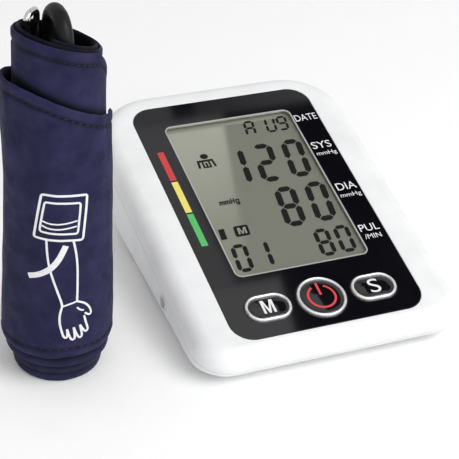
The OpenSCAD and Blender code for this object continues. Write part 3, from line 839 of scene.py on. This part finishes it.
def make_labels():
    """Words to the right of the display and a coloured scale to its left."""
    labels = [
        ("date", "DATE", 28.9, 38.9, 43.6, 47.4),
        ("sys", "SYS", 29.5, 38.2, 26.2, 30.2),
        ("sys_unit", "mmHg", 29.7, 38.8, 21.5, 24.4),
        ("dia", "DIA", 29.9, 38.6, 1.1, 5.1),
        ("dia_unit", "mmHg", 29.6, 38.9, -3.6, -0.7),
        ("pul", "PUL", 29.6, 38.1, -22.7, -18.9),
        ("pul_unit", "/MIN", 30.0, 37.2, -26.8, -24.3),
    ]
    for name, text, *box in labels:
        lettering("label_" + name, text, *box, 0.01, "ink", "monitor", 0.03)
    left, right = -35.9, -33.2
    for name, high, low in (("red", 38.1, 21.5), ("yellow", 20.6, 3.2), ("green", 2.3, -15.3)):
        shape = [(left, low), (right, low), (right, high), (left, high)]
        flat_shapes("scale_bar_" + name, [shape], 0.01, name, "monitor", 0.03)


def dome_room(which):
    """How far a key's dome runs inwards."""
    return (POWER_D if which == "power" else KEY_D) / 2 - RING_W - 0.5


def dome_rise(share):
    """Height of a dome above the face, from its edge at 0 to its middle at 1."""
    return 0.52 + 0.3 * (1 - (1 - share) ** 2)


def make_key(which):
    """A bright ring round a black middle with a low dome, and a flange under the faceplate."""
    body = "key_" + which
    ring_profile = [
        (0.0, -1.7), (0.0, 0.25), (-0.06, 0.6), (-0.22, 0.92), (-0.45, 1.12), (-0.65, 1.18),
        (-0.88, 1.1), (-1.1, 0.88), (-1.24, 0.55), (-RING_W, 0.2), (-RING_W, -1.7),
    ]
    skin = loft([lift(key_loop(which, g), z) for g, z in ring_profile], along=True)
    ring = finish_mesh(body + "_rim", skin, "chrome", body, 40)
    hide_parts(body + "_ring")
    profile = [(1.0, -2.9), (1.0, -1.92), (-RING_W - 1, -1.92), (-RING_W - 1, -1.7)]
    profile += [(-RING_W - g, z) for g, z in ((0.02, -1.7), (0.02, 0.2), (0.12, 0.36), (0.4, 0.52))]
    for k in range(1, 7):
        profile.append((-RING_W - 0.4 - dome_room(which) * k / 6 * 0.96, dome_rise(k / 6)))
    skin = loft([lift(key_loop(which, g), z) for g, z in profile], cap_first=True, cap_last=True)
    cap = finish_mesh(body + "_middle", skin, "key", body, 35)
    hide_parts(body + "_cap")


def make_key_marks():
    """The M and the S, and the power sign, whose ring follows its key's dome."""
    middle = 0.83
    flat_shapes("key_m_mark", [letter_m(-24.9, -54.0, 5.0, 6.4, 0.95)], middle, "ink", "key_m", 0.03)
    lettering("key_s_mark", "S", 20.0, 24.5, -54.2, -47.4, middle, "ink", "key_s", 0.03)
    start, sweep, steps = math.radians(117), math.radians(306), 56
    loops = []
    for k in range(steps + 1):
        a = start + sweep * k / steps
        loop = []
        for r, h in ((4.95, 0.0), (5.85, 0.0), (5.85, 0.05), (4.95, 0.05)):
            share = max(1 - r / (dome_room("power") + 0.1), 0) / 0.96
            loop.append(face(r * math.cos(a), KEY_ROW + r * math.sin(a), dome_rise(share) + h))
        loops.append(loop)
    skin = loft(loops, cap_first=True, cap_last=True)
    finish_mesh("power_mark_ring", skin, "power", "key_power", 40)
    stem = bar(-0.1, KEY_ROW + 0.7, -0.1, KEY_ROW + 6.7, 1.0)
    flat_shapes("power_mark_bar", [stem], middle, "power", "key_power", 0.04)


make_faceplate()
make_window_rim()
make_display()
make_labels()
for key in KEY_X:
    make_key(key)
make_key_marks()

# ---------- the rolled cuff ----------

TURNS = 3.3
SHEET_T = 1.25
ROLL_R = 19
# Radius of the first turn and of the last one, at the bottom and at the top of the roll.
START_R, END_R = (15.1, 12.1), (20.3, 17.0)
END_ANGLE = math.radians(-10)
FACING = math.atan2(-0.904, -0.427)
HEM = 4.4


def smooth(a, b, x):
    """0 at a and 1 at b, with a soft start and end."""
    t = min(max((x - a) / (b - a), 0), 1)
    return t * t * (3 - 2 * t)


def turn_angle(turn):
    return END_ANGLE - 2 * math.pi * (TURNS - turn)


def direction(angle):
    return Vector((math.cos(angle), math.sin(angle), 0))


def sheet_edges(turn):
    """Bottom and top of the sheet, in mm: the outer turns are narrower and slipped down."""
    left = TURNS - turn
    angle = turn_angle(turn)
    front = math.cos(angle - FACING)
    side = math.sin(angle - FACING)
    inner = smooth(0.85, 1.12, left)
    top = 114 + 20.5 * inner + 1.4 * smooth(1.5, 3.0, left)
    top += front * (5.5 - 1.5 * inner) - side * (6.5 - 3.2 * inner)
    bottom = 13.0 + front
    bottom -= 5.0 * smooth(0.85, 1.1, left) + 9.0 * smooth(1.6, 2.0, left)
    return max(bottom, 0.0), top


def sheet_centre(turn, s):
    """Middle of the sheet's thickness: turn from 0, s from 0 at the bottom to 1 at the top."""
    angle = turn_angle(turn)
    bottom, top = sheet_edges(turn)
    z = bottom + (top - bottom) * s
    height = min(max((z - 12) / 103, 0), 1)
    start_r, end_r = (r[0] + (r[1] - r[0]) * height for r in (START_R, END_R))
    r = start_r + (end_r - start_r) * turn / TURNS
    left = TURNS - turn
    r -= 1.3 * smooth(8, 0, z) + 0.7 * smooth(3.5, 0, z - bottom) * smooth(1.1, 0.9, left)
    gap_side = max(math.cos(angle - FACING + 1.35), 0) ** 2
    r += 2.6 * gap_side * smooth(1.2, 0.8, left) * smooth(70, 118, z)
    loose = smooth(1.3, 0, left)
    p = direction(angle) * 1.6 + Vector((0, 0, z * 0.035))
    dents = noise.noise(p) * 0.55 + noise.noise(p * 2.7 + Vector((7, 3, 1))) * 0.28
    r += dents * (0.25 + 0.75 * loose)
    fold = direction(angle) * 5 + Vector((0, 0, z * 0.012))
    r += (0.35 + 0.3 * noise.noise(fold) + 0.22 * math.sin(angle * 2 + z * 0.03)) * loose
    return angle, r, z


def near(distance, reach):
    """1 at no distance, and little beyond the reach."""
    return math.exp(-((distance / reach) ** 2))


def stitch_dip(z, bottom, top):
    """The hem's sewn line draws the cloth in a little, and the hem is thicker than the rest."""
    dip = 0.5 * near(z - top + HEM, 0.7) + 0.5 * near(z - bottom - HEM, 0.7)
    if bottom < z < bottom + HEM or top - HEM < z < top:
        dip -= 0.12
    return dip


def painted_shade(turn, z):
    """How much painted shade darkens the cloth, from 0 to 1: at hems, at edges and where the next turn
    covers it.
    """
    bottom, top = sheet_edges(turn)
    amounts = [
        0.85 * near(z - top + HEM, 0.75), 0.8 * near(z - bottom - HEM, 0.6), 0.5 * near(z - bottom, 0.7),
    ]
    if turn < TURNS - 1:
        cover_bottom, cover_top = sheet_edges(turn + 1)
        amounts.append(0.95 * near(max(z - cover_top, cover_bottom - z, 0), 2.0))
    return max(amounts)


def rounding(distance, radius):
    """How full the sheet is, from 0 to 1, at a distance from an edge that is rounded off."""
    return math.sqrt(max(1 - (1 - min(distance / radius, 1)) ** 2, 0.0))


def sheet_surface(turn, s, side):
    """A point of the sheet's skin; side is 1 outside and -1 inside."""
    angle, r, z = sheet_centre(turn, s)
    bottom, top = sheet_edges(turn)
    half = SHEET_T / 2 - stitch_dip(z, bottom, top)
    half *= rounding(min(s, 1 - s) * (top - bottom), 0.6)
    half *= rounding(min(TURNS - turn, turn) * 2 * math.pi * r, 0.7)
    r += side * half
    return cuff_point(r * math.cos(angle), r * math.sin(angle), z)


def make_sheet():
    """The cuff: one sheet rolled up, with rows that are closer together near its hems."""
    steps = int(TURNS * 96)
    turns = [TURNS * k / steps for k in range(steps + 1)]
    turns[1:1] = [0.002]
    turns[-1:-1] = [TURNS - 0.002]
    ways = [k / 48 - 1 for k in range(97)]
    rows = [0.5 + 0.5 * math.copysign(abs(x) ** 0.7, x) for x in ways]
    loops = []
    for turn in turns:
        outside = [sheet_surface(turn, s, 1) for s in rows]
        inside = [sheet_surface(turn, s, -1) for s in rows[-2:0:-1]]
        loops.append(outside + inside)
    sheet = mesh_object("cuff_sheet", *loft(loops, cap_first=True, cap_last=True))
    mesh = sheet.data
    places = [(turn, p.z) for turn, loop in zip(turns, loops) for p in loop]
    # Painted shade of the cloth, worked out for each point and read by its material.
    shade = mesh.attributes.new("painted_shade", "FLOAT", "POINT")
    shade.data.foreach_set("value", [painted_shade(turn, z / MM) for turn, z in places])
    mean_girth = 2 * math.pi * 16 * MM
    cloth = mesh.uv_layers.new(name="cloth")
    for loop, point in zip(mesh.loops, cloth.data):
        turn, z = places[loop.vertex_index]
        point.uv = (turn * mean_girth, z)
    dress(sheet, "navy", "cuff", 60)
    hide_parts("cuff_inner_wrap", "cuff_outer_wrap", "cuff_bladder", "cuff_hook_patch")
    return sheet, turns


def measure_sheet(turns):
    """Length and area of the sheet when it is laid flat, in metres."""
    length = area = 0.0
    for a, b in zip(turns, turns[1:]):
        piece = (b - a) * 2 * math.pi * sheet_centre(a, 0.5)[1] * MM
        bottom, top = sheet_edges(a)
        length += piece
        area += piece * (top - bottom) * MM
    return round(length, 3), area


def on_roll(a, z, out=0.0):
    """A point on the outer skin: a mm round from the line that faces the camera, at height z."""
    angle = FACING + a / ROLL_R
    turn = TURNS - ((END_ANGLE - angle) % (2 * math.pi)) / (2 * math.pi)
    bottom, top = sheet_edges(turn)
    return sheet_surface(turn, (z - bottom) / (top - bottom), 1) + direction(angle) * (out * MM)


def ribbon(name, path, width):
    """A printed line on the roll, along points (a, z) in mm."""
    fine = []
    for (a0, z0), (a1, z1) in zip(path, path[1:]):
        steps = max(int(math.hypot(a1 - a0, z1 - z0) / 0.9), 1)
        fine += [(a0 + (a1 - a0) * k / steps, z0 + (z1 - z0) * k / steps) for k in range(steps)]
    fine.append(path[-1])
    loops = []
    for i, (a, z) in enumerate(fine):
        a0, z0 = fine[max(i - 1, 0)]
        a1, z1 = fine[min(i + 1, len(fine) - 1)]
        d = math.hypot(a1 - a0, z1 - z0) or 1
        na, nz = -(z1 - z0) / d, (a1 - a0) / d
        section = [(-0.5, 0.02), (0.5, 0.02), (0.4, 0.12), (-0.4, 0.12)]
        loops.append([on_roll(a + na * h * width, z + nz * h * width, out) for h, out in section])
    finish_mesh(name, loft(loops, cap_first=True, cap_last=True), "ink", "cuff", 30)


def rounded(path, closed=False, rounds=3):
    """Corner-cut smoothing of a drawn line."""
    for _ in range(rounds):
        out = []
        for (x0, y0), (x1, y1) in zip(path, path[1:] + path[:1] if closed else path[1:]):
            out.append((x0 * 0.75 + x1 * 0.25, y0 * 0.75 + y1 * 0.25))
            out.append((x0 * 0.25 + x1 * 0.75, y0 * 0.25 + y1 * 0.75))
        path = out if closed else [path[0], *out[1:-1], path[-1]]
    return path + path[:1] if closed else path


def make_pictogram():
    """Where the cuff goes: an arm hanging down with a band round it and a hose."""
    fingers = [
        [(6.2, 27.6), (6.9, 24.6), (7.7, 22.6), (8.6, 22.5), (9.0, 23.6), (8.5, 28)],
        [(8.5, 28), (9.4, 25), (10.3, 23.0), (11.2, 23.1), (11.5, 24.2), (10.7, 28.6)],
        [
            (10.7, 28.6), (11.8, 26.3), (12.7, 25.0), (13.5, 25.3), (13.6, 26.4), (12.7, 29.8), (12.2, 32.4),
        ],
    ]
    band = [
        (-5.3, 68.0), (-5.4, 66.6), (-4.0, 66.3), (10.2, 65.2), (11.6, 65.2), (12.0, 66.6), (13.2, 81.6),
        (13.2, 83.0), (11.9, 83.2), (-1.4, 83.9), (-2.8, 83.9), (-3.1, 82.5),
    ]
    inner = [
        (-3.3, 70.6), (-3.2, 69.2), (-2.0, 68.9), (8.6, 68.0), (9.8, 68.1), (10.1, 69.4), (10.9, 78.9),
        (10.8, 80.2), (9.6, 80.4), (-0.4, 81.0), (-1.6, 80.9), (-1.9, 79.6),
    ]
    thumb = [(9.6, 39.4), (12.4, 38.0), (14.2, 35.4), (15.0, 32.8), (14.2, 31.8), (12.4, 33.6)]
    hand = [
        (4.5, 37.8), (3.7, 34.5), (3.6, 31), (4.2, 27.5), (5.0, 24.2), (5.9, 23.6), (6.4, 24.6), (6.2, 27.6),
    ]
    lines = {
        "band_fold_1": ([(-2.6, 71.6), (-0.5, 70.6), (4.2, 70.2), (9.6, 71.0)], 0.6),
        "band_fold_2": ([(-2.4, 73.4), (-0.4, 72.6), (4.2, 72.3), (9.8, 73.2)], 0.6),
        "arm_left": ([(-0.9, 65.8), (-0.7, 60), (0.0, 54.5), (1.9, 47.5), (4.4, 39.4), (4.5, 37.8)], 0.8),
        "arm_right": ([(8.4, 65.2), (9.4, 60), (9.9, 54), (9.9, 47), (9.7, 41.5), (9.6, 39.4)], 0.8),
        "wrist": ([(4.5, 37.8), (6.6, 38.4), (9.6, 39.4)], 0.7),
        "hose": ([(-7.3, 49.4), (-3.4, 50.8), (0.4, 53.6), (3.4, 57.6), (5.8, 63.4)], 2.2),
        "hand": (hand, 0.8),
        **{f"finger_{i + 1}": (finger, 0.8) for i, finger in enumerate(fingers)},
        "thumb": (thumb, 0.8),
        "palm": ([(9.6, 36.8), (10.6, 35.4), (12.0, 34.8)], 0.7),
    }
    ribbon("arm_drawing_band", rounded(band, True, 1), 0.9)
    ribbon("arm_drawing_band_inner", rounded(inner, True, 1), 0.8)
    for name, (path, width) in lines.items():
        ribbon("arm_drawing_" + name, rounded(path), width)


def stitch(turn, z):
    """Skin of one thread, fat in the middle, that lies along the sheet at a height."""
    angle = turn_angle(turn)
    bottom, top = sheet_edges(turn)
    mid = sheet_surface(turn, (z - bottom) / (top - bottom), 1)
    along, away, up = direction(angle + math.pi / 2), direction(angle), Vector((0, 0, 1))
    section = [(-0.85, 0.05), (-0.51, 0.2), (0, 0.26), (0.51, 0.2), (0.85, 0.05)]
    loops = [circle_points(mid + along * (d * MM), away, up, r * MM, 6) for d, r in section]
    return loft(loops, cap_first=True, cap_last=True)


def make_stitches():
    """Lockstitches along the hems of the two outer turns."""
    turns, girth, pitch = 2, 2 * math.pi * 18, 2.6
    count = int(turns * girth / pitch)
    skins = []
    for k in range(count):
        turn = TURNS - 0.01 - k * turns / count
        bottom, top = sheet_edges(turn)
        skins.append(stitch(turn, top - HEM))
        if TURNS - turn < 1.0:
            skins.append(stitch(turn, bottom + HEM))
    finish_mesh("hem_stitches", joined(skins), "thread", "cuff", 40)


def make_bar_ring():
    """Round steel wire bent to a long ring, with one corner standing out of the roll."""
    low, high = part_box("cuff_bar_ring")
    r, half, bend = 1.2 * MM, 3.3 * MM, 2.2 * MM
    mid = Vector(((low.x + high.x) / 2, (low.y + high.y) / 2, 0))
    out = Vector((mid.x - CUFF_X, mid.y - CUFF_Y, 0)).normalized()
    along = Vector((-out.y, out.x, 0))
    top, bottom = high.z - r - bend, low.z + r + bend
    points = []
    for side, z, start in ((-1, top, 90), (-1, bottom, 180), (1, bottom, 270), (1, top, 0)):
        for x, y in arc(side * (half - bend), z, bend, start, 8):
            points.append(mid + along * x + Vector((0, 0, y)))
    loops = []
    for i, point in enumerate(points):
        ahead = (points[(i + 1) % len(points)] - points[i - 1]).normalized()
        loops.append(circle_points(point, out, ahead.cross(out), r, 16))
    ring = finish_mesh("bar_ring_wire", loft(loops, along=True), "wire_ring", "cuff", 60)
    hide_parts("cuff_bar_ring")


sheet, sheet_turns = make_sheet()
make_pictogram()
make_stitches()
make_bar_ring()
sheet_length, sheet_area = measure_sheet(sheet_turns)

# ---------- materials of the carried-over nodes ----------

CARRIED = {
    "window": ["display_window"],
    "bezel": ["lcd_bezel"],
    "lcd": ["lcd_glass"],
    "silicone_pink": ["lcd_connector"],
    "board": ["main_board"],
    "chip": ["board_chips", "buzzer", "switch_m", "switch_power", "switch_s"],
    "sensor": ["pressure_sensor"],
    "cream": ["key_m_plunger", "key_power_plunger", "key_s_plunger", "valve_body", "air_manifold"],
    "motor": ["pump_motor_case"],
    "magnet": ["pump_magnet"],
    "rotor": ["pump_rotor"],
    "dark": ["pump_head", "power_jack"],
    "steel": ["valve_plunger", "housing_screws", "board_screws"],
    "socket": ["air_socket"],
    "silicone": ["air_tubes"],
    "housing": ["battery_door"],
    "cell": ["battery_1", "battery_2", "battery_3", "battery_4"],
    "nickel": ["battery_contacts"],
    "foot": ["rubber_feet"],
    "plug": ["hose_port"],
}
for mat, names in CARRIED.items():
    for name in names:
        mesh = frame["nodes"][name].data
        mesh.materials.clear()
        mesh.materials.append(M[mat])

# ---------- stage ----------


def make_floor():
    loop = [Vector((x, y, 0)) for x, y in ((-4, -4), (4, -4), (4, 4), (-4, 4))]
    floor = mesh_object("floor", loop, [(0, 1, 2, 3)])
    floor.data.materials.append(M["floor"])


def area_light(name, at, target, size, power):
    data = bpy.data.lights.new(name, "AREA")
    data.shape = "RECTANGLE"
    data.size, data.size_y = size
    data.energy = power
    light = link(bpy.data.objects.new(name, data))
    light.location = at
    light.rotation_euler = (Vector(target) - Vector(at)).to_track_quat("-Z", "Y").to_euler()


def mirrored(x, y):
    """Direction in which the face mirrors the camera's view of a point on it."""
    view = (face(x, y) - CAMERA_AT).normalized()
    return view - 2 * view.dot(FACE_OUT) * FACE_OUT


def make_world():
    """White surroundings; what gloss mirrors has a bright side and a dark side, like studio cards."""
    world = bpy.data.worlds.new("studio")
    bpy.context.scene.world = world
    world.use_nodes = True
    tree = world.node_tree
    tree.nodes.clear()

    def put(value, socket):
        """Sets a socket to a value, or wires another node's output to it."""
        if isinstance(value, bpy.types.NodeSocket):
            tree.links.new(value, socket)
        else:
            socket.default_value = value

    def add(kind, **inputs):
        made = tree.nodes.new(kind)
        for name, value in inputs.items():
            put(value, made.inputs[name.replace("_", " ")])
        return made

    def mixed(kind, a, b):
        made = tree.nodes.new("ShaderNodeMath")
        made.operation = kind
        put(a, made.inputs[0])
        put(b, made.inputs[1])
        return made.outputs["Value"]

    coords = add("ShaderNodeTexCoord").outputs["Generated"]

    def ramp(way, low, high, start, end):
        """A level from start to end, as a direction's share along way goes from low to high."""
        dot = add("ShaderNodeVectorMath")
        dot.operation = "DOT_PRODUCT"
        put(coords, dot.inputs[0])
        put(way, dot.inputs[1])
        ends = {"From_Min": low, "From_Max": high, "To_Min": start, "To_Max": end}
        return add("ShaderNodeMapRange", Value=dot.outputs["Value"], **ends).outputs["Result"]

    def beyond(p, q, inside):
        """1 on the side of the line p-q of the face that holds the point inside."""
        normal = mirrored(*p).cross(mirrored(*q)).normalized()
        if normal.dot(mirrored(*inside)) < 0:
            normal = -normal
        return ramp(normal, -0.001, 0.001, 0.0, 1.0)

    def fade(from_point, to_point, low, high):
        """A level that runs from low to high between two points of the face."""
        a, b = mirrored(*from_point), mirrored(*to_point)
        way = (b - a).normalized()
        return ramp(way, a.dot(way), b.dot(way), low, high)

    def card(edges, inside):
        """1 inside a shape that has these edges."""
        area = beyond(*edges[0], inside)
        for edge in edges[1:]:
            area = mixed("MINIMUM", area, beyond(*edge, inside))
        return area

    def across(y):
        return ((-40, y), (40, y))

    far_x, far_low, far_high = 140, -170, 180
    corners = [(-far_x, far_high), (far_x, far_high), (far_x, far_low), (-far_x, far_low)]
    dark = card(list(zip(corners, corners[1:] + corners[:1])), (0, 0))
    lit = card([((-2.1, 50.5), (-16.5, -6.9)), across(55)], (-35, 0))
    lit = mixed("MULTIPLY", lit, fade((-24, -12), (-22, 40), 0.24, 0.8))
    column = card([((-29.5, 55), (-29.5, -55)), across(55), across(-37)], (-35, 0))
    corner = card([((-20.9, 66.5), (-22.3, 56.6)), across(55)], (-35, 60))
    band = card([across(55), ((-13, 54), (-10, 66))], (10, 60))
    band = mixed("MULTIPLY", band, fade((-10, 60), (38, 60), 0.25, 0.62))
    bright = card([across(-37), ((-12, -37), (-17, -66))], (-30, -50))
    for patch in (lit, mixed("MULTIPLY", column, 0.78), mixed("MULTIPLY", corner, 0.55), band):
        bright = mixed("MAXIMUM", bright, patch)
    open_air = mixed("MULTIPLY", mixed("SUBTRACT", 1.0, dark), 0.8)
    bright = mixed("ADD", open_air, mixed("MULTIPLY", bright, dark))
    cards = add("ShaderNodeBackground", Strength=bright).outputs["Background"]
    white = add("ShaderNodeBackground", Color=(1, 1, 1, 1), Strength=0.6).outputs["Background"]
    mix = add("ShaderNodeMixShader", Fac=add("ShaderNodeLightPath").outputs["Is Glossy Ray"])
    put(white, mix.inputs[1])
    put(cards, mix.inputs[2])
    add("ShaderNodeOutputWorld", Surface=mix.outputs["Shader"])


make_floor()
make_world()
area_light("key_light", (0.55, -0.75, 0.95), (0, 0, 0.02), (0.9, 0.9), 11.0)
area_light("fill_light", (-0.5, -0.9, 0.8), (0, 0, 0.03), (1.2, 0.8), 1.5)
bpy.context.scene.view_settings.view_transform = "Standard"

# ---------- last update of the scene ---

bpy.context.view_layer.update()
